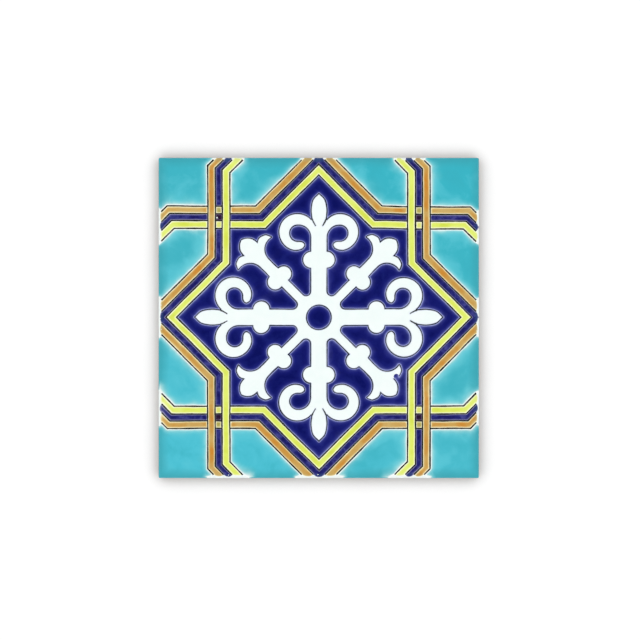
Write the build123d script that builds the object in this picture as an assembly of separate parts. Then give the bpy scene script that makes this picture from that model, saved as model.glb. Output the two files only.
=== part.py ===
from build123d import *
import os
from math import radians, tan

# A square wall tile of pressed and fired earthenware, glazed and painted on its face.
# Body and glaze are fired into one piece, so the tile is one solid.
# It lies face up: the feet of its back ribs stand on z = 0, the face looks along +Z,
# and the origin is under the middle of the face. Sizes are in millimetres and degrees.

# Driving dimensions: the tile as a whole
FACE_SIDE = 200.0  # across the glazed face, from side to side
THICKNESS = 8.0  # from the feet of the back ribs to the glaze
CORNER_RADIUS = 0.9  # the four upright corners, seen from above
ARRIS_RADIUS = 0.6  # the glazed edge, where the face rolls over into the sides
EDGE_LAND = 3.0  # height of the upright band under the face, which meets the joint
SIDE_DRAFT = 4.0  # below the land each side leans in, so that the pressed tile leaves its die
BACK_BEVEL = 0.8  # width of the bevel that runs round the back
BEVEL_ANGLE = 45.0  # its lean from the upright

# Driving dimensions: the keyed back, a waffle of ribs that gives the adhesive its hold
RELIEF_DEPTH = 1.4  # how far the ribs stand out of the pocket floors
RIB_WIDTH = 3.5  # across the feet of the ribs
RIM_WIDTH = 6.0  # the plain rim round the waffle, inside the bevel
POCKETS_PER_SIDE = 6  # an even number puts a crossing of ribs under the middle
POCKET_CORNER = 3.0  # corner radius of a pocket at its mouth
POCKET_DRAFT = 25.0  # how far the pocket walls lean back from the upright

# Places worked out from them
draft_height = THICKNESS - EDGE_LAND
back_side = FACE_SIDE - 2 * draft_height * tan(radians(SIDE_DRAFT))
flat_back_side = back_side - 2 * BACK_BEVEL
waffle_side = flat_back_side - 2 * RIM_WIDTH
pocket_pitch = (waffle_side + RIB_WIDTH) / POCKETS_PER_SIDE
pocket_side = pocket_pitch - RIB_WIDTH


def outline_at(height):
    """The tile's plan outline at that height, on a plane that looks down."""
    looking_down = Plane(origin=(0, 0, height), z_dir=(0, 0, -1))
    return looking_down * RectangleRounded(FACE_SIDE, FACE_SIDE, CORNER_RADIUS)


def pressed_blank():
    """The tile with a plain back: an upright land, drafted sides below it, and both edges eased."""
    land = extrude(outline_at(THICKNESS), amount=EDGE_LAND)
    land = fillet(land.faces().sort_by(Axis.Z)[-1].edges(), ARRIS_RADIUS)
    sides = extrude(outline_at(draft_height), amount=draft_height, taper=SIDE_DRAFT)
    flat_back = Rectangle(flat_back_side, flat_back_side)
    bevel = extrude(flat_back, amount=THICKNESS, taper=-BEVEL_ANGLE)
    return (land + sides) & bevel


def back_pocket():
    """What one raised block of the back punch leaves: a shallow square pocket that opens downwards."""
    mouth = RectangleRounded(pocket_side, pocket_side, POCKET_CORNER)
    return extrude(mouth, amount=RELIEF_DEPTH, taper=POCKET_DRAFT)


def painted_tile():
    """The blank with the waffle of pockets pressed into its back."""
    pocket = back_pocket()
    grid = GridLocations(pocket_pitch, pocket_pitch, POCKETS_PER_SIDE, POCKETS_PER_SIDE)
    return pressed_blank() - [place * pocket for place in grid]


os.makedirs("parts", exist_ok=True)
tile = painted_tile()
tile.label = "painted_tile"
export_step(tile, "parts/painted_tile.step")
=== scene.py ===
from math import atan2, ceil, cos, hypot, radians, sin

import bmesh
import bpy
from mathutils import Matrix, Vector, noise
from mathutils.bvhtree import BVHTree
from mathutils.geometry import delaunay_2d_cdt


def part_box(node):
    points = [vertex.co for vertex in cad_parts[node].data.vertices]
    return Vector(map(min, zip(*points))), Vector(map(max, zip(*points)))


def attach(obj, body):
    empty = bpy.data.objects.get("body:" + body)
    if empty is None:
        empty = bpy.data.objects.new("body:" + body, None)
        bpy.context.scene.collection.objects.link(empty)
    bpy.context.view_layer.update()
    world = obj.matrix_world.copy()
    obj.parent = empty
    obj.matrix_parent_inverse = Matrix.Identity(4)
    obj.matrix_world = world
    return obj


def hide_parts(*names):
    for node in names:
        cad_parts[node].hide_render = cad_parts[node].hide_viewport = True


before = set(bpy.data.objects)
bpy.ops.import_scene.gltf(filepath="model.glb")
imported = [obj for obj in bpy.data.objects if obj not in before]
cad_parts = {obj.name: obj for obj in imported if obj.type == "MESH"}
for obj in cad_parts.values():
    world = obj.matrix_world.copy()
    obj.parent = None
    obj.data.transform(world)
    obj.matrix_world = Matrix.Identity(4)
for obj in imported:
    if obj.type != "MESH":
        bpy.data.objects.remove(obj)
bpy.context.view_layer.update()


# Biscuit body
# The body is pressed from buff earthenware and fired once, to biscuit, before it is glazed. Its sides and
# its keyed back stay bare. The coat of glaze has a thickness of its own, so under it the body stops short
# of the finished size.
MM = 0.001
GLAZE_OVER_FACE = 0.55
GLAZE_OVER_EDGE = 0.22
WELDED = 0.002
CREASE = 28

tile_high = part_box("painted_tile")[1]
half_side = tile_high.x / MM
face_height = tile_high.z / MM
body_reach = (half_side - GLAZE_OVER_EDGE) * MM
body_top = (face_height - GLAZE_OVER_FACE) * MM


def linear(hex_colour):
    """An sRGB hex colour as Blender's linear red, green, blue and alpha."""
    parts = [int(hex_colour[i:i + 2], 16) / 255 for i in (0, 2, 4)]
    return [p / 12.92 if p <= 0.04045 else ((p + 0.055) / 1.055) ** 2.4 for p in parts] + [1.0]


def add(tree, kind, links=None, **settings):
    """Adds a node with its settings, and gives each named input a value or a link."""
    made = tree.nodes.new(kind)
    for name, value in settings.items():
        setattr(made, name, value)
    for socket, value in (links or {}).items():
        if isinstance(value, bpy.types.NodeSocket):
            tree.links.new(value, made.inputs[socket])
        else:
            made.inputs[socket].default_value = value
    return made


def new_material(name):
    """An empty material, with its node tree."""
    made = bpy.data.materials.new(name)
    made.use_nodes = True
    made.node_tree.nodes.clear()
    return made, made.node_tree


# Fired buff clay, pressed in a die: matt and chalky, a warm cream with paler and rosier clouds from the
# kiln, fine dark grog specks and pits about the size of sand grains.
CLAY = "D9C2A0"
CLAY_ROSY = "CFAF8B"
CLAY_PALE = "E6D6BC"
GROG = "9A7F62"
CLOUD_SIZE = 28.0
CLOUDS_BETWEEN = (0.35, 0.65)
GRAIN_SIZE = 0.45
GROG_BETWEEN = (0.62, 0.74)
PIT_SIZE = 1.6
PIT_SHARE = 0.22
PIT_DEPTH = 0.08

biscuit, tree = new_material("fired_earthenware")
place = add(tree, "ShaderNodeTexCoord").outputs["Object"]
clouds = add(tree, "ShaderNodeTexNoise", {"Vector": place, "Scale": 1 / (CLOUD_SIZE * MM), "Detail": 3.0})
grain = add(tree, "ShaderNodeTexNoise", {"Vector": place, "Scale": 1 / (GRAIN_SIZE * MM), "Detail": 2.0})
pits = add(tree, "ShaderNodeTexVoronoi", {"Vector": place, "Scale": 1 / (PIT_SIZE * MM)})
kiln = add(tree, "ShaderNodeValToRGB", {"Fac": clouds.outputs["Fac"]})
kiln.color_ramp.elements[0].position = CLOUDS_BETWEEN[0]
kiln.color_ramp.elements[0].color = linear(CLAY_ROSY)
kiln.color_ramp.elements[1].position = CLOUDS_BETWEEN[1]
kiln.color_ramp.elements[1].color = linear(CLAY_PALE)
kiln.color_ramp.elements.new(0.5).color = linear(CLAY)
speck = add(tree, "ShaderNodeMapRange", {
    "Value": grain.outputs["Fac"], "From Min": GROG_BETWEEN[0], "From Max": GROG_BETWEEN[1]})
speckled = add(tree, "ShaderNodeMix", {
    0: speck.outputs["Result"], 6: kiln.outputs["Color"], 7: linear(GROG)}, data_type="RGBA")
pit = add(tree, "ShaderNodeMapRange", {"Value": pits.outputs["Distance"], "From Max": PIT_SHARE})
height = add(tree, "ShaderNodeMath", {0: grain.outputs["Fac"], 1: pit.outputs["Result"]}, operation="ADD")
bump = add(tree, "ShaderNodeBump", {
    "Height": height.outputs["Value"], "Strength": 0.5, "Distance": PIT_DEPTH * MM})
shader = add(tree, "ShaderNodeBsdfPrincipled", {
    "Base Color": speckled.outputs[2], "Roughness": 0.92, "IOR": 1.45, "Normal": bump.outputs["Normal"]})
add(tree, "ShaderNodeOutputMaterial", {"Surface": shader.outputs["BSDF"]})

# The body's shape is the tile's own, copied, with the room for the glaze taken off its face and edge.
body_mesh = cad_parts["painted_tile"].data.copy()
work = bmesh.new()
work.from_mesh(body_mesh)
bmesh.ops.remove_doubles(work, verts=work.verts, dist=WELDED * MM)
for vert in work.verts:
    vert.co.x = max(-body_reach, min(body_reach, vert.co.x))
    vert.co.y = max(-body_reach, min(body_reach, vert.co.y))
    vert.co.z = min(body_top, vert.co.z)
bmesh.ops.dissolve_degenerate(work, dist=WELDED * MM, edges=work.edges)
work.to_mesh(body_mesh)
work.free()
body_mesh.materials.clear()
body_mesh.materials.append(biscuit)
body_mesh.shade_smooth()
body_mesh.set_sharp_from_angle(angle=radians(CREASE))
body = bpy.data.objects.new("biscuit_body", body_mesh)
bpy.context.scene.collection.objects.link(body)
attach(body, "root")
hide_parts("painted_tile")


# Painted lines
# The pattern is drawn on the raw face in a dark line of manganese and grease, which keeps the glazes
# apart in the kiln. Everything here is in millimetres, measured from the middle of the pattern, which
# the painter set a little above the middle of the tile.
PATTERN_CENTRE = (0.05, 0.45)
LINE_WIDTH = 0.92
POINT_SPACING = 1.2
STRAIGHT_SPACING = 1.44
SAME_SPOT = 0.05

# How far the drawing sags at most, and where to the right and upwards that starts and how fast it grows.
SAG = 0.45
SAG_STARTS = (30, 5)
SAG_GROWS_OVER = (35, 25)


def arc(centre, radius, start, end):
    """Points along an arc, with its angles in degrees."""
    steps = max(2, ceil(abs(radians(end - start)) * radius / POINT_SPACING))
    turns = [radians(start + (end - start) * i / steps) for i in range(steps + 1)]
    return [(centre[0] + radius * cos(t), centre[1] + radius * sin(t)) for t in turns]


def circle(centre, radius):
    """Points round a circle."""
    return arc(centre, radius, 0, 360)[:-1]


def bow(*knots):
    """Points along a smooth curve that passes through the given ones."""
    ends = [(2 * knots[0][0] - knots[1][0], 2 * knots[0][1] - knots[1][1])]
    ends += list(knots) + [(2 * knots[-1][0] - knots[-2][0], 2 * knots[-1][1] - knots[-2][1])]
    points = [knots[0]]
    for before, start, end, after in zip(ends, ends[1:], ends[2:], ends[3:]):
        steps = max(2, ceil(hypot(end[0] - start[0], end[1] - start[1]) / POINT_SPACING))
        for i in range(1, steps + 1):
            t = i / steps
            points.append(tuple(
                0.5 * (2 * b + (c - a) * t + (2 * a - 5 * b + 4 * c - d) * t ** 2
                       + (3 * b - a - 3 * c + d) * t ** 3)
                for a, b, c, d in zip(before, start, end, after)))
    return points


def joined(*stretches):
    """One line from several stretches, with points at even steps along the straight ones."""
    corners = [p for stretch in stretches for p in stretch]
    points = [corners[0]]
    for start, end in zip(corners, corners[1:]):
        right, up = end[0] - start[0], end[1] - start[1]
        length = hypot(right, up)
        if length > SAME_SPOT:
            steps = ceil(length / STRAIGHT_SPACING)
            for i in range(1, steps + 1):
                points.append((start[0] + right * i / steps, start[1] + up * i / steps))
    return points


def mirrored(points):
    """The same line on the other side of the upright axis, drawn the other way."""
    return [(-x, y) for x, y in reversed(points)]


def turned(points, degrees):
    """A line turned clockwise about the middle of the pattern."""
    c, s = cos(radians(degrees)), sin(radians(degrees))
    return [(x * c + y * s, y * c - x * s) for x, y in points]


def eased(share):
    """A share from nought to one that starts and ends softly."""
    share = max(0.0, min(1.0, share))
    return share * share * (3 - 2 * share)


def on_tile(point):
    """Where a point of the drawing falls on the tile. Towards the upper right the drawing sags a little."""
    sag = SAG
    for place, start, over in zip(point, SAG_STARTS, SAG_GROWS_OVER):
        sag *= eased((place - start) / over)
    return point[0] + PATTERN_CENTRE[0], point[1] + PATTERN_CENTRE[1] - sag


# The painter's bench
# Each colour is an outline that is filled over the ones before it, and each dark line is a run of small
# four-sided strokes. The face is then cut into triangles along all of them at once.
LONGEST_MITRE = 1.5
SHARPEST_TURN = 0.4
SMALLEST_AREA = 0.001

# What a hand's pressure does to the width of a line: by what share, how often in a millimetre, and a seed.
PRESSURES = ((0.3, 0.11, 3.0), (0.25, 0.7, 7.0))

corners_2d = []
laid = []
strokes = []
corner_of = {}


def corner(point):
    """The number of a point of the drawing, which outlines share where they meet."""
    key = (round(point[0], 4), round(point[1], 4))
    if key not in corner_of:
        corner_of[key] = len(corners_2d)
        corners_2d.append(on_tile(key))
    return corner_of[key]


def area_inside(ring):
    """Twice the area inside a ring of points, which is negative where they run clockwise."""
    return sum(a[0] * b[1] - b[0] * a[1] for a, b in zip(ring, ring[1:] + ring[:1]))


def lay(colour, points):
    """Fills an outline with a colour, over what is there."""
    numbers = [corner(p) for p in points]
    numbers = [n for n, last in zip(numbers, numbers[-1:] + numbers) if n != last]
    anticlockwise = area_inside([corners_2d[n] for n in numbers]) > 0
    laid.append((colour, numbers if anticlockwise else numbers[::-1]))


def draw(points, closed=False, start_width=LINE_WIDTH, end_width=LINE_WIDTH, lean=0.0, colour="line"):
    """Draws a dark line along the points, a little wider here and narrower there, as a hand does.
    The lean is the share of its width by which it lies to the left of them."""
    left, right = [], []
    count = len(points)
    for i, (x, y) in enumerate(points):
        before = points[i - 1] if i or closed else points[i]
        after = points[(i + 1) % count] if i < count - 1 or closed else points[i]
        into = Vector((x - before[0], y - before[1])).normalized()
        out = Vector((after[0] - x, after[1] - y)).normalized()
        along = (into + out).normalized()
        across = Vector((-along.y, along.x))
        straightness = across.dot(Vector((-out.y, out.x)) if out.length else across)
        mitre = min(LONGEST_MITRE, 1 / max(SHARPEST_TURN, straightness))
        pressure = 1
        for share, often, seed in PRESSURES:
            pressure += share * noise.noise(Vector((x * often, y * often, seed)))
        width = (start_width + (end_width - start_width) * i / count) * pressure
        to_left = width * mitre * (0.5 + lean)
        to_right = width * mitre * (0.5 - lean)
        left.append((x + across.x * to_left, y + across.y * to_left))
        right.append((x - across.x * to_right, y - across.y * to_right))
    for i in range(count if closed else count - 1):
        j = (i + 1) % count
        stroke = [left[i], right[i], right[j], left[j]]
        strokes.append(stroke)
        halves = [stroke[:3], [stroke[0], stroke[2], stroke[3]]]
        areas = [area_inside(half) for half in halves]
        if areas[0] * areas[1] > 0:
            lay(colour, stroke)
        else:
            # On a sharp turn a stroke crosses itself, and goes down as two triangles instead.
            for half, area in zip(halves, areas):
                if abs(area) > SMALLEST_AREA:
                    lay(colour, half)


# Strapwork
# Four straps of three bands, ochre outside, blue between and yellow inside, cross near the corners and
# bend towards the middles of the sides, which makes an eight-pointed star. Each band is painted between
# two of the strap's four dark lines.
BAND_COLOURS = ("ochre", "blue", "yellow")
STRAP_TURNS = {"top": 0, "right": 90, "bottom": 180, "left": 270}

# Of each line, from the outermost in: how far it runs from the middle, the sum of its two coordinates
# where it slants, and where it turns aside just before the tile's edge.
STRAP_LINES = (69.4, 64.7, 60.4, 55.5)
SLANT_LINES = (109.0, 101.8, 95.5, 88.8)
TURNS_ASIDE = (94.6, 93.0, 92.0, 90.3)

# The lines stop just short of the edge. The colours are laid past it, and cut off by it later.
LINE_STOPS = 98.3
BEYOND = 104.0
BANDS_END = 114.0


def strap_half(level, reach):
    """The right half of one line of the top strap, from the tile's edge to its peak."""
    run, slant, aside = STRAP_LINES[level], SLANT_LINES[level], TURNS_ASIDE[level]
    peak = (0.0, slant) if slant < reach else (slant - reach, reach)
    return joined([(reach, run - (reach - aside)), (aside, run), (slant - run, run), peak])


def whole_line(level):
    """A whole line of the top strap, from right to left, carried on well past the tile's edge."""
    half = strap_half(level, BANDS_END)
    return half + mirrored(half)[1:]


def lay_bands(turn):
    """The three bands of a strap, each between one line and the next."""
    for level, colour in enumerate(BAND_COLOURS):
        lay(colour, turned(whole_line(level) + whole_line(level + 1)[::-1], turn))


def draw_strap_lines(turn):
    """The four dark lines of a strap. The outer two run off the tile at the middle of its side."""
    for level in range(len(STRAP_LINES)):
        half = strap_half(level, LINE_STOPS)
        if SLANT_LINES[level] < LINE_STOPS:
            draw(turned(half + mirrored(half)[1:], turn))
        else:
            draw(turned(half, turn))
            draw(turned(mirrored(half), turn))


lay("turquoise", [(BEYOND, BEYOND), (-BEYOND, BEYOND), (-BEYOND, -BEYOND), (BEYOND, -BEYOND)])
field = STRAP_LINES[3]
point = SLANT_LINES[3]
lay("cobalt", joined([(field, field), (-field, field), (-field, -field), (field, -field), (field, field)]))
lay("cobalt", joined([(point, 0.0), (0.0, point), (-point, 0.0), (0.0, -point), (point, 0.0)]))

# The level straps pass under.
for name in ("top", "bottom"):
    lay_bands(STRAP_TURNS[name])
    draw_strap_lines(STRAP_TURNS[name])

# The upright straps pass over, but for the gap of their blue band, where the painter let the strap below
# show, each of its bands in a muddier colour.
outer, blue_out, blue_in, inner = STRAP_LINES
under = (("straw", outer, blue_out), ("aubergine", blue_out, blue_in), ("lemon", blue_in, inner))
for name in ("right", "left"):
    lay_bands(STRAP_TURNS[name])
    side = 1 if name == "right" else -1
    for end in (1, -1):
        for colour, high, low in under:
            lay(colour, [(side * blue_in, end * low), (side * blue_out, end * low),
                         (side * blue_out, end * high), (side * blue_in, end * high)])
        for level in STRAP_LINES:
            draw(joined([(side * blue_in, end * level), (side * blue_out, end * level)]))
    draw_strap_lines(STRAP_TURNS[name])

# At the tile's edge each band ends in a round nose, and the ground stays bare beyond it and tapers off
# along the edge. Each side has its own length of nose, lean of the nose towards the middle of the side,
# and taper. The blue melts most, so its nose is longer than those of the other two.
NOSES = {"top": 1.5, "right": 0.85, "bottom": 0.95, "left": 0.65}
NOSE_LEANS = {"top": 0.7, "right": 0.1, "bottom": 0.45, "left": -0.35}
TAPERS = {"top": 0.8, "right": 2.0, "bottom": 4.0, "left": 2.6}
BLUE_NOSE = 1.35
NOSE_VARIES = 0.6
NOSE_SEED = 0.5
SHOULDER_OUT = 0.8
SHOULDER_CARRIED = 0.7
NOSE_GAPS = (0.35, 0.8, 1.3, 1.9)
nose_points = []


def bare_end(side, *places):
    """Bare ground beyond the bands that lie between lines, given by their places along the edge."""
    turn = STRAP_TURNS[side]
    outline = []
    for number, (first, last) in enumerate(zip(places, places[1:])):
        middle = (first + last) / 2
        nose = NOSES[side] * (BLUE_NOSE if number == BAND_COLOURS.index("blue") else 1.0)
        nose *= 1 + NOSE_VARIES * noise.noise(Vector((first, last, turn + NOSE_SEED)))
        carried = NOSE_LEANS[side] * nose * ((middle < 0) - (middle > 0))
        shoulder_carried = SHOULDER_CARRIED * carried
        shoulder = LINE_STOPS + SHOULDER_OUT * nose
        outline += bow(
            (first, LINE_STOPS),
            (0.75 * first + 0.25 * last + shoulder_carried, shoulder),
            (middle + carried, LINE_STOPS + nose),
            (0.25 * first + 0.75 * last + shoulder_carried, shoulder),
            (last, LINE_STOPS))
    for inward in NOSE_GAPS:
        nose_points.extend(turned([(x, y - inward) for x, y in outline], turn))
    taper = TAPERS[side] if places[0] > places[-1] else -TAPERS[side]
    outline += [(places[-1] - taper, half_side), (places[-1] - taper, BEYOND),
                (places[0] + taper, BEYOND), (places[0] + taper, half_side)]
    lay("bare", turned(outline, turn))


for side in STRAP_TURNS:
    ends = [run - (LINE_STOPS - aside) for run, aside in zip(STRAP_LINES, TURNS_ASIDE)]
    bare_end(side, *ends)
    bare_end(side, *[-end for end in ends])
    slants = [slant - LINE_STOPS for slant in SLANT_LINES[:2]]
    bare_end(side, *slants, *[-slant for slant in reversed(slants)])

# Beside one dark cell, and at the ends of some bands, the brush left flecks of ground.
FLECKS = (((-63.7, 62.2), 0.6), ((-98.5, 7.6), 0.45), ((-98.9, -0.7), 0.5), ((-98.3, -7.5), 0.4),
          ((-3.0, -98.8), 0.5), ((-0.8, -98.2), 0.45), ((-56.4, -98.4), 0.45), ((98.6, -8.6), 0.45))
for fleck in FLECKS:
    lay("white", circle(*fleck))


# The cross
# Eight white arms on the cobalt star: four that end in two scrolls and a petal, and between them four
# that end in a tulip. White is the bare ground glaze. Half of each arm is drawn upright, in arcs, which
# have a centre, a radius and two angles, and in smooth curves through a few points.
PETAL = ((0.0, 77.3), (3.6, 73.3), (4.85, 67.5), (4.6, 63.0), (4.3, 61.2))
PETAL_STROKE = ((4.3, 61.2), (3.8, 59.8), (2.2, 57.0))
STROKE_WIDTHS = (0.95, 0.55)
SCROLL_OUTSIDE = ((13.5, 53.2), 11.45, 138, -78)
SCROLL_HEEL = ((14.7, 51.6), 9.7, -88, -118)
SCROLL_TIP = ((9.6, 43.75), (8.95, 44.9), (9.2, 46.0), (10.3, 46.95), (11.8, 47.35), (13.6, 47.35))
SCROLL_EYE = ((13.3, 52.5), 5.15, -85, 90)
SCROLL_THROAT = ((12.8, 49.9), 7.75, 90, 180)
KNOT = ((4.9, 36.0), 5.2, 88, -88)
STEM_TOP = (5.05, 30.0)
ROOT = ((8.0, 16.34), 3.0, 180, 315)
TULIP_FOOT = (2.9, 17.2)
TULIP_KNOT = ((3.78, 34.75), 4.88, -100, 86)
TULIP_NECK = ((3.85, 39.8), (3.65, 43.9), (3.7, 47.0))
TULIP_THROAT = ((12.5, 47.85), 8.8, 185, 78)
TULIP_TIP = ((14.5, 56.8), (13.4, 59.3), (12.3, 60.4), (9.3, 61.4), (7.2, 61.0), (5.8, 60.1))
TULIP_LOBE = ((5.8, 60.1), (5.75, 61.6), (5.35, 63.6), (4.45, 65.3), (2.7, 67.1), (1.1, 68.0), (0.0, 68.4))
DISC = 7.8
CROSS_LINE = 0.72
CROSS_LEAN = 0.15
SLIP = ((48.4, -37.1), 1.75)

scroll_arm = joined(
    bow(*PETAL),
    arc(*SCROLL_OUTSIDE),
    arc(*SCROLL_HEEL),
    bow(*SCROLL_TIP),
    arc(*SCROLL_EYE),
    arc(*SCROLL_THROAT),
    arc(*KNOT),
    [STEM_TOP],
    arc(*ROOT))
tulip_arm = joined(
    [TULIP_FOOT],
    arc(*TULIP_KNOT),
    bow(*TULIP_NECK),
    arc(*TULIP_THROAT),
    bow(*TULIP_TIP),
    bow(*TULIP_LOBE))

# A quarter of the cross runs from the petal's tip down the scroll arm, up and down the tulip arm beside
# it, and up the next scroll arm. Four of them close the outline.
quarter = scroll_arm + turned(mirrored(tulip_arm[::-1]), 45) + turned(tulip_arm[::-1], 45)
quarter += turned(mirrored(scroll_arm), 90)
cross = [p for k in range(4) for p in turned(quarter[:-1], 90 * k)]
lay("white", cross)
draw(joined(cross, cross[:1])[:-1], True, CROSS_LINE, CROSS_LINE, CROSS_LEAN, "stained_line")
for k in range(4):
    for stroke in (bow(*PETAL_STROKE), mirrored(bow(*PETAL_STROKE))[::-1]):
        draw(turned(stroke, 90 * k), start_width=STROKE_WIDTHS[0], end_width=STROKE_WIDTHS[1])

disc = circle((0, 0), DISC)
lay("cobalt", disc)
draw(disc, True, CROSS_LINE, CROSS_LINE, CROSS_LEAN, "stained_line")

# A drop of cobalt slipped over the line at the notch of one tulip.
lay("cobalt", circle(*SLIP))


# Glaze coat
# One skin of glass lies over the whole face, rolls over the edge and stops in a bead part of the way
# down the sides. It is sunk along the dark lines, which hold no glaze, and swells between them.
ARRIS = 0.6
CORNER_RADIUS = 0.9
CORNER_STEPS = (0, 22.5, 45, 67.5)
POOL_ROOM = 0.06
STILL_EDGE = 1.6
SAME_CORNER = 1e-5

# The run down the side goes so far, give or take two waves: the share of each, how often it comes in a
# millimetre, and a seed. At these shares of its length the run draws in by so much, above its bead.
RUN_DOWN = 1.7
RUN_VARIES = 0.9
RUN_WAVES = ((1.0, 0.035, 5.0), (0.5, 0.16, 9.0))
RUN_THICKNESS = ((0.35, 0.07), (0.75, 0.05), (1.0, 0.0))
BEAD = 0.3

# The face gets more points where the relief bends: in rings at these distances from a line, inside the
# noses of the bands, and in even rows over what is left.
RING_GAPS = (0.16, 0.42, 0.8, 1.35, 2.1, 3.2, 4.8)
HALF_LINE = 0.5
RING_APART = 0.65
NOSE_ROOM = 0.3
NOSE_SPACING = 0.4
FILL_SPACING = 2.6
FILL_APART = 0.6
ROOM_KEPT = 0.85
RIM_ROOM = 0.35
CELL = 2

# Where the brush ran dry a colour is thinner: the middle of such a spot, how far it reaches, and how thin
# it is.
THIN_SPOTS = (((-99.5, -57.0), 18.0, 0.76), ((-101.0, -43.0), 14.0, 0.88), ((-70.5, -101.0), 6.0, 0.85),
              ((-42.5, -98.0), 10.0, 0.75), ((-13.5, -101.0), 5.0, 0.8), ((15.0, -101.0), 6.5, 0.85),
              ((41.0, -101.0), 7.0, 0.7), ((70.0, -101.0), 5.0, 0.7), ((74.0, 86.0), 14.0, 0.35),
              ((-100.0, 50.5), 5.0, 0.85), ((-100.0, -49.5), 5.0, 0.85), ((-50.5, -100.5), 4.5, 0.8),
              ((50.5, -100.5), 4.0, 0.75))

flat_half = half_side - ARRIS
corner_inset = half_side - CORNER_RADIUS
face_edge = []
for k in range(4):
    side_points = joined([(-corner_inset, flat_half), (corner_inset, flat_half)])[:-1]
    turn_points = [(corner_inset + (CORNER_RADIUS - ARRIS) * sin(radians(a)),
                    corner_inset + (CORNER_RADIUS - ARRIS) * cos(radians(a))) for a in CORNER_STEPS]
    face_edge += turned(side_points + turn_points, 90 * k)
edge_numbers = []
for x, y in face_edge:
    edge_numbers.append(len(corners_2d))
    corners_2d.append((x, y))
edge_numbers.reverse()

stroke_points = [Vector((*on_tile(p), 0)) for stroke in strokes for p in stroke]
stroke_finder = BVHTree.FromPolygons(stroke_points, [range(4 * i, 4 * i + 4) for i in range(len(strokes))])
taken = {}


def place_free(spot, room, apart):
    """Adds a point to the face if it is on it, clear of the lines and apart from the points before it."""
    if max(abs(spot.x), abs(spot.y)) > flat_half - RIM_ROOM:
        return
    if stroke_finder.find_nearest(spot)[3] < room * ROOM_KEPT:
        return
    cell = (round(spot.x / CELL), round(spot.y / CELL))
    near = [p for i in (-1, 0, 1) for j in (-1, 0, 1) for p in taken.get((cell[0] + i, cell[1] + j), ())]
    if all((spot - p).length > apart for p in near):
        taken.setdefault(cell, []).append(spot)
        corners_2d.append((spot.x, spot.y))


for point in nose_points:
    place_free(Vector((*on_tile(point), 0)), NOSE_ROOM, NOSE_SPACING)
for gap, gap_before in zip(RING_GAPS, (-HALF_LINE,) + RING_GAPS):
    for i in range(0, len(stroke_points), 4):
        left = (stroke_points[i] + stroke_points[i + 3]) / 2
        right = (stroke_points[i + 1] + stroke_points[i + 2]) / 2
        across = (left - right).normalized()
        place_free(left + across * gap, gap, RING_APART * (gap - gap_before))
        place_free(right - across * gap, gap, RING_APART * (gap - gap_before))
rows = ceil(half_side / FILL_SPACING)
for row in range(-rows, rows + 1):
    for column in range(-rows, rows + 1):
        place_free(Vector(((column + 0.5 * (row % 2)) * FILL_SPACING, row * FILL_SPACING, 0)),
                   RING_GAPS[-1], FILL_APART * FILL_SPACING)

outlines = [numbers for colour, numbers in laid] + [edge_numbers]
points_2d, _, triangles, _, _, inside = delaunay_2d_cdt(
    [Vector(p) for p in corners_2d], [], outlines, 1, SAME_CORNER)

# The last three of the colours, from "bare" on, hold no pool of glaze.
COLOURS = ("white", "turquoise", "cobalt", "blue", "ochre", "yellow", "straw", "aubergine", "lemon",
           "bare", "line", "stained_line")
coat = bmesh.new()
paint = coat.faces.layers.int.new("paint")
reach = coat.verts.layers.float.new("reach")
run = coat.verts.layers.float.new("run")
thin = coat.verts.layers.float.new("thin")
verts = []
base = face_height - POOL_ROOM
for p in points_2d:
    vert = coat.verts.new((p.x * MM, p.y * MM, base * MM))
    inset = half_side - max(abs(p.x), abs(p.y))
    vert[reach] = max(0.0, min(1.0, (inset - ARRIS) / STILL_EDGE))
    vert[run] = ARRIS - inset
    vert[thin] = max(strength * eased(1 - hypot(p.x - x, p.y - y) / size)
                     for (x, y), size, strength in THIN_SPOTS)
    verts.append(vert)
for corners, covers in zip(triangles, inside):
    if len(outlines) - 1 in covers:
        face = coat.faces.new([verts[i] for i in corners])
        face[paint] = COLOURS.index(laid[max(c for c in covers if c < len(laid))][0])
bmesh.ops.delete(coat, geom=[v for v in coat.verts if not v.link_faces], context="VERTS")

# The edge: rings of points that follow the arris, the run down the side, the bead and the way back.
rim = [v for v in coat.verts if any(e.is_boundary for e in v.link_edges)]
rim.sort(key=lambda v: atan2(v.co.y, v.co.x))
rings = [rim]


def ring_of(height_and_reach):
    """A ring of points beside the rim, at a height and a step outward that may vary."""
    made = []
    for v in rim:
        x, y = v.co.x / MM, v.co.y / MM
        pivot = Vector((max(-corner_inset, min(corner_inset, x)), max(-corner_inset, min(corner_inset, y))))
        away = (Vector((x, y)) - pivot).normalized()
        height, out = height_and_reach(x, y)
        spot = Vector((x, y)) + away * out
        vert = coat.verts.new((spot.x * MM, spot.y * MM, height * MM))
        vert[run] = base - height + 0.5 * out
        made.append(vert)
    return made


def run_length(x, y):
    """How far down the side the glaze has run."""
    wave = sum(share * noise.noise(Vector((x * often, y * often, seed))) for share, often, seed in RUN_WAVES)
    return RUN_DOWN + RUN_VARIES * wave


for turn in (22.5, 45, 67.5, 90):
    rings.append(ring_of(lambda x, y: (base - ARRIS * (1 - cos(radians(turn))), ARRIS * sin(radians(turn)))))
for share, thinner in RUN_THICKNESS:
    rings.append(ring_of(lambda x, y: (base - ARRIS - run_length(x, y) * share, ARRIS - thinner)))
for turn in (45, 90):
    rings.append(ring_of(lambda x, y: (base - ARRIS - run_length(x, y) - BEAD * sin(radians(turn)),
                                       ARRIS - BEAD * (1 - cos(radians(turn))))))

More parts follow.
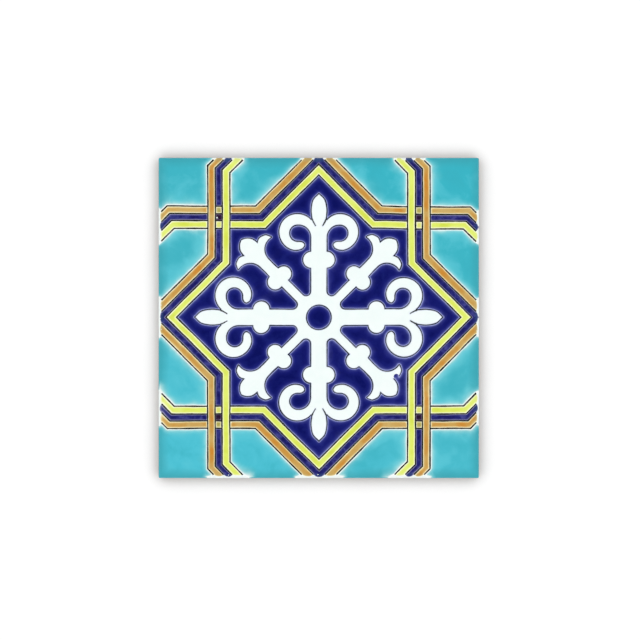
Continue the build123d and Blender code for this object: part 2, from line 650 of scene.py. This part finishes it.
# The way back lies inside the body, out of sight.
inner_reach = ARRIS - GLAZE_OVER_EDGE * 2
inner_height = face_height - GLAZE_OVER_FACE * 1.5
rings.append(ring_of(lambda x, y: (inner_height, inner_reach)))
rim_paint = [coat.edges.get((v, after)).link_faces[0][paint] for v, after in zip(rim, rim[1:] + rim[:1])]
for upper, lower in zip(rings, rings[1:]):
    for i in range(len(rim)):
        j = (i + 1) % len(rim)
        face = coat.faces.new((upper[i], lower[i], lower[j], upper[j]))
        face[paint] = rim_paint[i]
centre = coat.verts.new((0, 0, inner_height * MM))
for i in range(len(rim)):
    face = coat.faces.new((rings[-1][i], centre, rings[-1][(i + 1) % len(rim)]))
    face[paint] = COLOURS.index("white")
bmesh.ops.recalc_face_normals(coat, faces=coat.faces)
coat_mesh = bpy.data.meshes.new("glaze_coat")
coat.to_mesh(coat_mesh)
coat.free()
coat_mesh.shade_smooth()
glaze_coat = bpy.data.objects.new("glaze_coat", coat_mesh)
bpy.context.scene.collection.objects.link(glaze_coat)


# Glazes
# Every colour is a soft tin glaze stained with an oxide, brushed on thick and melted to a wet gloss. A
# pool is fullest in its middle and thins to the white ground beside the lines, so each colour is given
# as steps away from a line, in millimetres, and clouds of a darker and a lighter wash lie over it.
GROUND = "F0F8F5"

# The steps drift with a quick and a slow noise, of which the slow one has this share, between the limits
# that such noises keep to.
HALO_DRIFT = 9.0
WASH_DRIFT = 38.0
WASH_SHARE = 0.55
DRIFT_BETWEEN = (0.36, 0.64)

# The kiln's heat was uneven: which way its tones lean, how far out they are full, how much of them shows,
# and from which depth of pool to which.
KILN_LEAN = (0.35, 0.85, 0.0)
KILN_REACH = 0.95
KILN_SHOWS = 0.85
DEEP_POOL = (1.2, 5.0)

# The clouds come in between two distances from a line. Their noise darkens on one side of its middle and
# lightens on the other.
CLOUDS_FROM = (0.2, 1.0)
CLOUD_MIDDLE = 0.5
CLOUD_ENDS = (0.68, 0.32)

# The turn to the edge's colour, which is partly painted shade at the arris, drifts to and fro, is full just
# inside the edge, and needs a deep pool.
EDGE_DRIFT = 0.6
EDGE_TURNED = -0.3
EDGE_POOL = (0.1, 0.35)

# The surface of the glass has long low waves and a fine skin.
WAVE_SIZE = 5.0
WAVE_DEPTH = 0.07
SKIN_SIZE = 1.1
SKIN_DEPTH = 0.01


def glaze(name, steps, darker, lighter, cloud_size, clouds_show, wander, edge_tint_and_shade=(GROUND, 0.0, 1.0),
          fades=(0.9, 2.3), kiln_tones=(), gloss=(0.07, 0.17), shine=0.5):
    """A glaze colour. The steps are pairs of a distance from the line and a hex colour. The clouds have a
    size and a share that shows, and the steps wander nearer and farther by a share of their distance. The
    edge tint and shade is the colour that it turns to beside the tile's edge, how much of it shows, and how
    wide the turn is; that colour is partly a tint of the glass and partly painted shade, where the glaze
    curves down over the arris. It fades to the ground between two distances past the edge. The kiln tones
    are the colours that deep pools have towards the upper right and towards the lower left."""
    made, tree = new_material(name)
    place = add(tree, "ShaderNodeTexCoord").outputs["Object"]
    gap = add(tree, "ShaderNodeAttribute", attribute_name="line_gap").outputs["Fac"]
    over = add(tree, "ShaderNodeAttribute", attribute_name="run").outputs["Fac"]
    dry = add(tree, "ShaderNodeAttribute", attribute_name="thin").outputs["Fac"]
    wet = add(tree, "ShaderNodeMath", {0: 1.0, 1: dry}, operation="SUBTRACT").outputs["Value"]
    quick = add(tree, "ShaderNodeTexNoise", {"Vector": place, "Scale": 1 / (HALO_DRIFT * MM), "Detail": 1.0})
    slow = add(tree, "ShaderNodeTexNoise", {"Vector": place, "Scale": 1 / (WASH_DRIFT * MM), "Detail": 1.0})
    drift = add(tree, "ShaderNodeMix", {
        0: WASH_SHARE, 2: quick.outputs["Fac"], 3: slow.outputs["Fac"]}, data_type="FLOAT")
    spread = add(tree, "ShaderNodeMapRange", {
        "Value": drift.outputs[0], "From Min": DRIFT_BETWEEN[0], "From Max": DRIFT_BETWEEN[1],
        "To Min": 1 + wander, "To Max": 1 - wander})
    wet_gap = add(tree, "ShaderNodeMath", {0: gap, 1: wet}, operation="MULTIPLY").outputs["Value"]
    felt = add(tree, "ShaderNodeMath", {0: wet_gap, 1: spread.outputs["Result"]}, operation="MULTIPLY")
    widest = steps[-1][0]
    share = add(tree, "ShaderNodeMath", {0: felt.outputs["Value"], 1: widest}, operation="DIVIDE")
    pool = add(tree, "ShaderNodeValToRGB", {"Fac": share.outputs["Value"]})
    stops = pool.color_ramp.elements
    stops[0].color = linear(steps[0][1])
    stops[1].color = linear(steps[-1][1])
    for distance, colour in steps[1:-1]:
        stops.new(distance / widest).color = linear(colour)
    toned = pool.outputs["Color"]
    if kiln_tones:
        lean = add(tree, "ShaderNodeVectorMath", {0: place, 1: KILN_LEAN}, operation="DOT_PRODUCT")
        deep = add(tree, "ShaderNodeMapRange", {
            "Value": felt.outputs["Value"], "From Min": DEEP_POOL[0], "From Max": DEEP_POOL[1],
            "To Max": KILN_SHOWS})
        for tone, side in zip(kiln_tones, (1, -1)):
            shows = add(tree, "ShaderNodeMapRange", {
                "Value": lean.outputs["Value"], "From Max": side * half_side * KILN_REACH * MM,
                "To Max": deep.outputs["Result"]})
            toned = add(tree, "ShaderNodeMix", {
                0: shows.outputs["Result"], 6: toned, 7: linear(tone)}, data_type="RGBA").outputs[2]

    # The clouds don't reach into the pale rim beside a line.
    clear = add(tree, "ShaderNodeMapRange", {
        "Value": wet_gap, "From Min": CLOUDS_FROM[0], "From Max": CLOUDS_FROM[1], "To Max": clouds_show})
    wash = add(tree, "ShaderNodeTexNoise", {
        "Vector": place, "Scale": 1 / (cloud_size * MM), "Detail": 4.0, "Roughness": 0.55,
        "Distortion": 0.4})
    for wash_colour, cloud_end in zip((darker, lighter), CLOUD_ENDS):
        cloud = add(tree, "ShaderNodeMapRange", {
            "Value": wash.outputs["Fac"], "From Min": CLOUD_MIDDLE, "From Max": cloud_end,
            "To Max": clear.outputs["Result"]})
        toned = add(tree, "ShaderNodeMix", {
            0: cloud.outputs["Result"], 6: toned, 7: linear(wash_colour)}, data_type="RGBA").outputs[2]

    # Near the tile's edge the colour may turn to another, a tint of the glass and partly painted shade where
    # the glaze curves down over the arris, and over the edge it thins to the ground.
    drifted = add(tree, "ShaderNodeMapRange", {
        "Value": drift.outputs[0], "From Min": DRIFT_BETWEEN[0], "From Max": DRIFT_BETWEEN[1],
        "To Min": -EDGE_DRIFT, "To Max": EDGE_DRIFT})
    felt_over = add(tree, "ShaderNodeMath", {0: over, 1: drifted.outputs["Result"]}, operation="ADD")
    full = add(tree, "ShaderNodeMapRange", {
        "Value": felt.outputs["Value"], "From Min": EDGE_POOL[0], "From Max": EDGE_POOL[1] * widest,
        "To Max": edge_tint_and_shade[1]})
    edge_turn_and_shade = add(tree, "ShaderNodeMapRange", {
        "Value": felt_over.outputs["Value"], "From Min": -edge_tint_and_shade[2], "From Max": EDGE_TURNED,
        "To Max": full.outputs["Result"]})
    edge_tinted_and_shaded = add(tree, "ShaderNodeMix", {
        0: edge_turn_and_shade.outputs["Result"], 6: toned, 7: linear(edge_tint_and_shade[0])}, data_type="RGBA")
    thinned = add(tree, "ShaderNodeMapRange", {
        "Value": felt_over.outputs["Value"], "From Min": fades[0], "From Max": fades[1]},
        interpolation_type="SMOOTHSTEP")
    colour = add(tree, "ShaderNodeMix", {
        0: thinned.outputs["Result"], 6: edge_tinted_and_shaded.outputs[2], 7: linear(GROUND)}, data_type="RGBA")

    waves = add(tree, "ShaderNodeTexNoise", {"Vector": place, "Scale": 1 / (WAVE_SIZE * MM), "Detail": 1.0})
    skin = add(tree, "ShaderNodeTexNoise", {"Vector": place, "Scale": 1 / (SKIN_SIZE * MM), "Detail": 1.0})
    rough = add(tree, "ShaderNodeMapRange", {
        "Value": skin.outputs["Fac"], "To Min": gloss[0], "To Max": gloss[1]})
    rolling = add(tree, "ShaderNodeBump", {
        "Height": waves.outputs["Fac"], "Strength": 0.6, "Distance": WAVE_DEPTH * MM})
    fine = add(tree, "ShaderNodeBump", {
        "Height": skin.outputs["Fac"], "Strength": 0.5, "Distance": SKIN_DEPTH * MM,
        "Normal": rolling.outputs["Normal"]})
    shader = add(tree, "ShaderNodeBsdfPrincipled", {
        "Base Color": colour.outputs[2], "Roughness": rough.outputs["Result"], "IOR": 1.5,
        "Specular IOR Level": shine, "Normal": fine.outputs["Normal"]})
    add(tree, "ShaderNodeOutputMaterial", {"Surface": shader.outputs["BSDF"]})
    return made


glazes = {
    # Copper in an alkaline glaze gives turquoise, which pulls back from the lines in a wide pale halo.
    # Its darker teal beside the tile's edge is painted shade, for the glaze that curves down over the arris.
    "turquoise": glaze("turquoise_glaze", (
        (0.0, "FEFFFF"), (0.3, "E9F8F6"), (0.6, "BFE7E6"), (1.0, "A0DCDF"), (1.5, "87D3DA"),
        (2.2, "74CDD8"), (3.1, "65C8D4"), (4.3, "59C2CF"), (6.0, "4DBAC9"), (8.5, "46B6C5")),
        "3AAFBF", "60CBDA", 16.0, 0.55, 0.35, edge_tint_and_shade=("3EA4B1", 0.8, 6.0), kiln_tones=("38B5C6", "4FC4D7")),
    # Cobalt laid thick is nearly black in the middle of a pool, and pale violet where it thins.
    "cobalt": glaze("cobalt_glaze", (
        (0.0, "B8BEE6"), (0.15, "959CD2"), (0.35, "666CB2"), (0.65, "424894"), (1.05, "2D3381"),
        (1.6, "222778"), (2.4, "12186E"), (4.5, "030B5D")),
        "03094F", "1B247A", 9.0, 0.5, 0.4),
    # The same cobalt in the narrow bands, brushed on thinner and in visible strokes.
    "blue": glaze("blue_band_glaze", (
        (0.0, "A8A6C2"), (0.15, "7472A4"), (0.35, "3E3E82"), (0.6, "282971"), (0.95, "20226E"),
        (2.0, "1D206E")),
        "110C54", "44468E", 4.0, 0.95, 0.35, edge_tint_and_shade=("34507A", 0.85, 2.6), fades=(0.7, 1.8)),
    # Antimony yellow, thin and bright, over the white.
    "yellow": glaze("yellow_glaze", (
        (0.0, "FDFEE6"), (0.25, "F7FACA"), (0.55, "ECF594"), (1.0, "E1ED6C"), (2.1, "DCE960")),
        "D2DD46", "E7F582", 13.0, 0.7, 0.3, edge_tint_and_shade=("DDE594", 0.6, 2.2), fades=(0.1, 1.5)),
    # Iron ochre, grainy and streaked, over the white.
    "ochre": glaze("ochre_glaze", (
        (0.0, "FAF5D8"), (0.2, "F3E8BA"), (0.45, "E2C680"), (0.8, "D2A85C"), (1.3, "CB9C50"),
        (2.1, "C99949")),
        "CF8428", "D0B371", 12.0, 0.8, 0.35, edge_tint_and_shade=("ADA070", 0.7, 2.6), fades=(0.1, 1.5)),
    # The tin white ground, in the cross and beyond the noses of the bands.
    "white": glaze("tin_white_glaze", (
        (0.0, "D6DFEE"), (0.35, "EFF7FB"), (0.9, "F5FEFC"), (2.0, "F5FEFC")),
        "F0FCFA", "F9FFFE", 8.0, 0.5, 0.3),
    "bare": glaze("bare_ground_glaze", (
        (0.0, "F2FAF8"), (0.4, "F4FDFB"), (1.5, "F5FEFC")),
        "EAF8F6", "F9FFFE", 8.0, 0.5, 0.3, edge_tint_and_shade=("D6EDED", 0.75, 1.9)),
    # The three muddier colours of a strap seen through the gap of the one above it.
    "straw": glaze("straw_glaze", (
        (0.0, "FAF8E0"), (0.3, "DEDAA2"), (0.7, "BCB266"), (1.6, "B0A558")),
        "A0964A", "C4BA74", 5.0, 0.5, 0.3),
    "aubergine": glaze("aubergine_glaze", (
        (0.0, "907AA2"), (0.2, "442B52"), (0.5, "260F30"), (1.6, "220A2E")),
        "1C0824", "34183E", 5.0, 0.5, 0.3),
    "lemon": glaze("lemon_glaze", (
        (0.0, "FCFDE8"), (0.3, "EEF0B4"), (0.7, "E0E47C"), (1.6, "DADD68")),
        "D2D460", "E8EC90", 5.0, 0.5, 0.3),
    # The line itself: manganese and iron, burnt on dry. Round the cross the cobalt has stained it.
    "line": glaze("manganese_line", ((0.0, "161B08"), (0.2, "161B08")),
                  "0E1206", "20260E", 3.0, 0.6, 0.0, gloss=(0.4, 0.55), shine=0.25),
    "stained_line": glaze("cobalt_stained_line", ((0.0, "0D1A2C"), (0.2, "0D1A2C")),
                          "081020", "14243C", 3.0, 0.6, 0.0, gloss=(0.4, 0.55), shine=0.25),
}


# Relief of the coat
# A tree of nodes sinks the dark lines and the bare ground, swells the pools between them, and lets the
# drawing wander as a hand does. It keeps each point's distance from the nearest of them for the glazes.
RELIEF_SIZES = {
    "Pool Height": 0.22 * MM,
    "Pool Shoulder": 1.3 * MM,
    "Swell": 0.05 * MM,
    "Swell Length": 14.0 * MM,
    "Hand Wander": 0.9 * MM,
    "Wander Length": 26.0 * MM,
    "Seed": 3.0,
}
relief = bpy.data.node_groups.new("glaze_relief", "GeometryNodeTree")
relief.interface.new_socket("Geometry", in_out="INPUT", socket_type="NodeSocketGeometry")
relief.interface.new_socket("Geometry", in_out="OUTPUT", socket_type="NodeSocketGeometry")
size_ids = {name: relief.interface.new_socket(name, in_out="INPUT", socket_type="NodeSocketFloat").identifier
            for name in RELIEF_SIZES}
given = add(relief, "NodeGroupInput").outputs
paint_number = add(relief, "GeometryNodeInputNamedAttribute", {"Name": "paint"}, data_type="INT")
reach_share = add(relief, "GeometryNodeInputNamedAttribute", {"Name": "reach"}, data_type="FLOAT")
is_line = add(relief, "FunctionNodeCompare", {
    2: paint_number.outputs["Attribute"], 3: COLOURS.index("bare")},
    data_type="INT", operation="GREATER_EQUAL")
lines = add(relief, "GeometryNodeSeparateGeometry", {
    "Geometry": given["Geometry"], "Selection": is_line.outputs["Result"]}, domain="FACE")
nearest = add(relief, "GeometryNodeProximity", {0: lines.outputs["Selection"]}, target_element="FACES")
shoulder = add(relief, "ShaderNodeMapRange", {
    "Value": nearest.outputs["Distance"], "From Max": given["Pool Shoulder"]},
    interpolation_type="SMOOTHSTEP")
seeded = {"W": given["Seed"]}
spot = add(relief, "GeometryNodeInputPosition").outputs["Position"]
swell_scale = add(relief, "ShaderNodeMath", {0: 1.0, 1: given["Swell Length"]}, operation="DIVIDE")
wander_scale = add(relief, "ShaderNodeMath", {0: 1.0, 1: given["Wander Length"]}, operation="DIVIDE")
swells = add(relief, "ShaderNodeTexNoise", {
    "Vector": spot, "Scale": swell_scale.outputs["Value"], "Detail": 1.0, **seeded}, noise_dimensions="4D")
wanders = add(relief, "ShaderNodeTexNoise", {
    "Vector": spot, "Scale": wander_scale.outputs["Value"], "Detail": 1.0, **seeded}, noise_dimensions="4D")
swell = add(relief, "ShaderNodeMath", {0: swells.outputs["Fac"], 1: given["Swell"]}, operation="MULTIPLY")
full = add(relief, "ShaderNodeMath", {
    0: given["Pool Height"], 1: swell.outputs["Value"]}, operation="SUBTRACT")
dip = add(relief, "ShaderNodeMath", {0: shoulder.outputs["Result"], 1: 1.0}, operation="SUBTRACT")
sunk = add(relief, "ShaderNodeMath", {
    0: dip.outputs["Value"], 1: full.outputs["Value"]}, operation="MULTIPLY")
lowered = add(relief, "ShaderNodeMath", {
    0: sunk.outputs["Value"], 1: swell.outputs["Value"]}, operation="SUBTRACT")
raised = add(relief, "ShaderNodeMath", {
    0: lowered.outputs["Value"], 1: reach_share.outputs["Attribute"]}, operation="MULTIPLY")
centred = add(relief, "ShaderNodeVectorMath", {
    0: wanders.outputs["Color"], 1: (0.5, 0.5, 0.5)}, operation="SUBTRACT")
wandered = add(relief, "ShaderNodeVectorMath", {
    0: centred.outputs["Vector"], "Scale": given["Hand Wander"]}, operation="SCALE")
held = add(relief, "ShaderNodeVectorMath", {
    0: wandered.outputs["Vector"], "Scale": reach_share.outputs["Attribute"]}, operation="SCALE")
parts = add(relief, "ShaderNodeSeparateXYZ", {0: held.outputs["Vector"]})
shift = add(relief, "ShaderNodeCombineXYZ", {
    "X": parts.outputs["X"], "Y": parts.outputs["Y"], "Z": raised.outputs["Value"]})
gap_in_mm = add(relief, "ShaderNodeMath", {0: nearest.outputs["Distance"], 1: 1 / MM}, operation="MULTIPLY")
kept = add(relief, "GeometryNodeStoreNamedAttribute", {
    "Geometry": given["Geometry"], "Name": "line_gap", "Value": gap_in_mm.outputs["Value"]},
    data_type="FLOAT", domain="POINT")
shaped = add(relief, "GeometryNodeSetPosition", {
    "Geometry": kept.outputs["Geometry"], "Offset": shift.outputs["Vector"]})
finished = add(relief, "GeometryNodeRealizeInstances", {"Geometry": shaped.outputs["Geometry"]})
for number, colour in enumerate(COLOURS):
    chosen = add(relief, "FunctionNodeCompare", {
        2: paint_number.outputs["Attribute"], 3: number}, data_type="INT", operation="EQUAL")
    finished = add(relief, "GeometryNodeSetMaterial", {
        "Geometry": finished.outputs["Geometry"], "Selection": chosen.outputs["Result"],
        "Material": glazes[colour]})
add(relief, "NodeGroupOutput", {"Geometry": finished.outputs["Geometry"]})

coat_mesh.materials.append(glazes["white"])
modifier = glaze_coat.modifiers.new("glaze_relief", "NODES")
modifier.node_group = relief
for name, value in RELIEF_SIZES.items():
    modifier[size_ids[name]] = value
depsgraph = bpy.context.evaluated_depsgraph_get()
made_mesh = bpy.data.meshes.new_from_object(
    glaze_coat.evaluated_get(depsgraph), preserve_all_data_layers=True, depsgraph=depsgraph)
glaze_coat.modifiers.remove(modifier)
glaze_coat.data = made_mesh
made_mesh.name = "glaze_coat"
bpy.data.meshes.remove(coat_mesh)
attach(glaze_coat, "root")
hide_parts("painted_tile")


# Floor
# A plain white table, wide enough to reach the horizon in a low view. The camera sees it as white away
# from the tile, and the tile's shadow lies on it, deepest where the two all but touch. Close to the tile
# that shadow is deepened by painted shade: the colour turns grey where ambient occlusion finds it hemmed in.
FLOOR_HALF = 6.0
FLOOR_WHITE = "FEFEFE"
# The grey of the painted shade round the tile, and how far out it reaches.
FLOOR_SHADE = "C4C8CE"
SHADE_REACH = 17.0
FLOOR_BOUNCE = "B4B4B4"
FLOOR_LIFT = 0.005

floor_mesh = bpy.data.meshes.new("floor")
floor_mesh.from_pydata([(-FLOOR_HALF, -FLOOR_HALF, 0), (FLOOR_HALF, -FLOOR_HALF, 0),
                        (FLOOR_HALF, FLOOR_HALF, 0), (-FLOOR_HALF, FLOOR_HALF, 0)], [], [(0, 1, 2, 3)])
floor = bpy.data.objects.new("floor", floor_mesh)
bpy.context.scene.collection.objects.link(floor)
white_table, tree = new_material("white_table")
seen = add(tree, "ShaderNodeLightPath")
by_eye_or_gloss = add(tree, "ShaderNodeMath", {
    0: seen.outputs["Is Camera Ray"], 1: seen.outputs["Is Glossy Ray"]}, operation="MAXIMUM")
by_any = add(tree, "ShaderNodeMath", {
    0: by_eye_or_gloss.outputs["Value"], 1: seen.outputs["Is Transmission Ray"]}, operation="MAXIMUM")
lift = add(tree, "ShaderNodeMath", {0: by_any.outputs["Value"], 1: FLOOR_LIFT}, operation="MULTIPLY")
# Painted shade: near the tile the floor's colour is mixed towards the shade grey by ambient occlusion.
openness_for_painted_shade = add(tree, "ShaderNodeAmbientOcclusion", {"Distance": SHADE_REACH * MM}, samples=8)
white = add(tree, "ShaderNodeMix", {
    0: openness_for_painted_shade.outputs["AO"], 6: linear(FLOOR_SHADE), 7: linear(FLOOR_WHITE)}, data_type="RGBA")
shade = add(tree, "ShaderNodeMix", {
    0: by_any.outputs["Value"], 6: linear(FLOOR_BOUNCE), 7: white.outputs[2]}, data_type="RGBA")
matt = add(tree, "ShaderNodeBsdfDiffuse", {"Color": shade.outputs[2]})
glow = add(tree, "ShaderNodeEmission", {"Color": linear("FFFFFF"), "Strength": lift.outputs["Value"]})
both = add(tree, "ShaderNodeAddShader", {0: matt.outputs["BSDF"], 1: glow.outputs["Emission"]})
add(tree, "ShaderNodeOutputMaterial", {"Surface": both.outputs["Shader"]})
floor_mesh.materials.append(white_table)


# Light
# Soft boxes stand in a high ring round a copy stand, over a dim room and under a dim ceiling. The light
# comes in from the sides, so the gloss doesn't veil the colours from straight above. Each step is the sine
# of a height above the horizon and the brightness there.
RING = ((0.0, 0.25), (0.42, 0.32), (0.6, 0.95), (0.72, 2.1), (0.88, 2.1), (0.96, 0.1), (1.0, 0.08))
LIGHT = 0.93
world = bpy.data.worlds.new("copy_stand")
bpy.context.scene.world = world
world.use_nodes = True
tree = world.node_tree
tree.nodes.clear()
direction = add(tree, "ShaderNodeTexCoord").outputs["Generated"]
height = add(tree, "ShaderNodeSeparateXYZ", {0: direction}).outputs["Z"]
glow_by_height = add(tree, "ShaderNodeValToRGB", {"Fac": height})
ramp = glow_by_height.color_ramp.elements
brightest = max(glow for sine, glow in RING)
for sine, glow in RING[1:-1]:
    ramp.new(sine)
for stop, (sine, glow) in zip(ramp, RING):
    stop.color = (glow / brightest, glow / brightest, glow / brightest, 1)
room = add(tree, "ShaderNodeBackground", {
    "Color": glow_by_height.outputs["Color"], "Strength": LIGHT * brightest})
backdrop = add(tree, "ShaderNodeBackground", {"Color": linear("FFFFFF"), "Strength": 1.0})
by_eye = add(tree, "ShaderNodeLightPath").outputs["Is Camera Ray"]
shown = add(tree, "ShaderNodeMixShader", {
    0: by_eye, 1: room.outputs["Background"], 2: backdrop.outputs["Background"]})
add(tree, "ShaderNodeOutputWorld", {"Surface": shown.outputs["Shader"]})

scene = bpy.context.scene
scene.view_settings.view_transform = "Standard"


# Camera
# It looks straight down from above the tile, and sits a touch right of and below its middle, as the
# photograph is framed.
CAMERA_HEIGHT = 1.1
VIEW_WIDTH = 399.4 * MM
CAMERA_AT = (0.78 * MM, -1.28 * MM)
lens = bpy.data.cameras.new("camera")
lens.sensor_width = 36.0
lens.lens = lens.sensor_width * CAMERA_HEIGHT / VIEW_WIDTH
camera = bpy.data.objects.new("camera", lens)
camera.location = (CAMERA_AT[0], CAMERA_AT[1], tile_high.z + CAMERA_HEIGHT)
scene.collection.objects.link(camera)
scene.camera = camera
